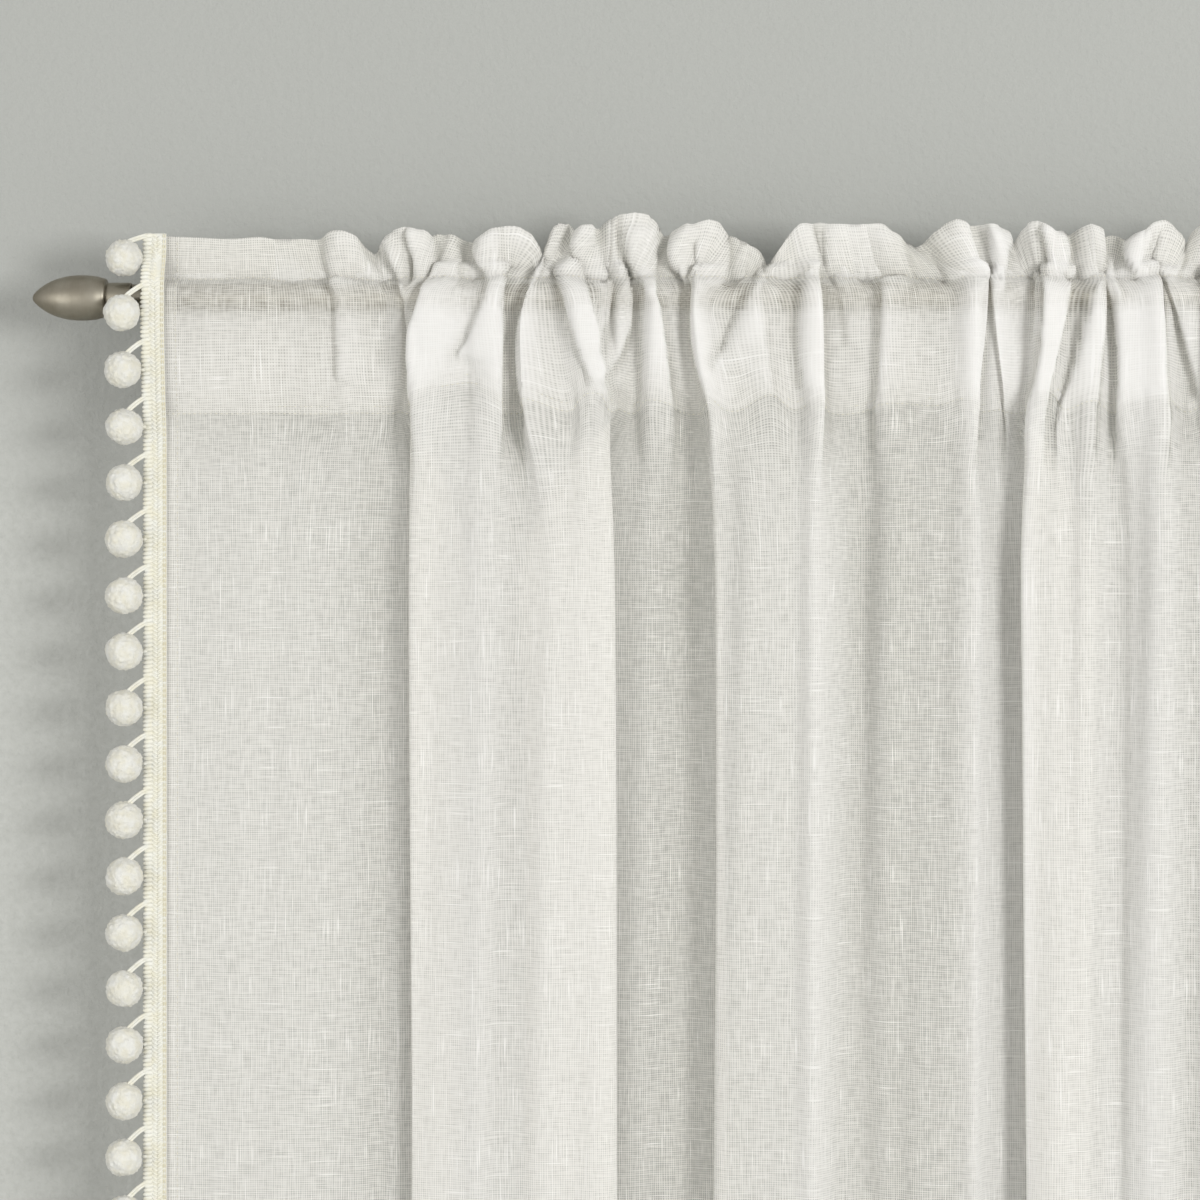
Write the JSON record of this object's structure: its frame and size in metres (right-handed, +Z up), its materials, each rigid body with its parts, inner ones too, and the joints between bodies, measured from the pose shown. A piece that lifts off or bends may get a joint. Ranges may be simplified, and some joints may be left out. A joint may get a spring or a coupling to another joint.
{
  "type": "voile curtain on a curtain rod",
  "caption": "Semi-sheer ivory voile curtain gathered on a slim round rod with bullet finials, pom-pom trim down one edge.",
  "frame": {"origin": "on the rod's axis, half-way along the rod", "axes": "+X along the rod to the viewer's right, +Y away from the viewer towards the wall, +Z up"},
  "size_m": [1.0434, 0.0495, 1.3824],
  "materials": {
    "nickel": "brushed warm nickel",
    "voile": "semi-sheer slub voile, ivory",
    "braid": "ribbed cotton braid, ivory",
    "felt": "felted wool pom-pom, ivory"
  },
  "bodies": {
    "root": {"rod": "nickel", "finial_left": "nickel", "finial_right": "nickel", "voile_panel": "voile", "pompom_braid": "braid", "pompom_01": "felt", "pompom_02": "felt", "pompom_03": "felt", "pompom_04": "felt", "pompom_05": "felt", "pompom_06": "felt", "pompom_07": "felt", "pompom_08": "felt", "pompom_09": "felt", "pompom_10": "felt", "pompom_11": "felt", "pompom_12": "felt", "pompom_13": "felt", "pompom_14": "felt", "pompom_15": "felt", "pompom_16": "felt", "pompom_17": "felt", "pompom_18": "felt", "pompom_19": "felt", "pompom_20": "felt", "pompom_21": "felt", "pompom_22": "felt", "pompom_23": "felt", "pompom_24": "felt", "pompom_25": "felt", "pompom_26": "felt", "pompom_27": "felt", "pompom_28": "felt", "pompom_29": "felt", "pompom_30": "felt", "pompom_31": "felt", "pompom_32": "felt", "pompom_33": "felt", "pompom_34": "felt", "pompom_35": "felt", "pompom_36": "felt", "pompom_37": "felt", "pompom_38": "felt", "pompom_39": "felt", "pompom_40": "felt", "pompom_41": "felt"}
  },
  "joints": []
}
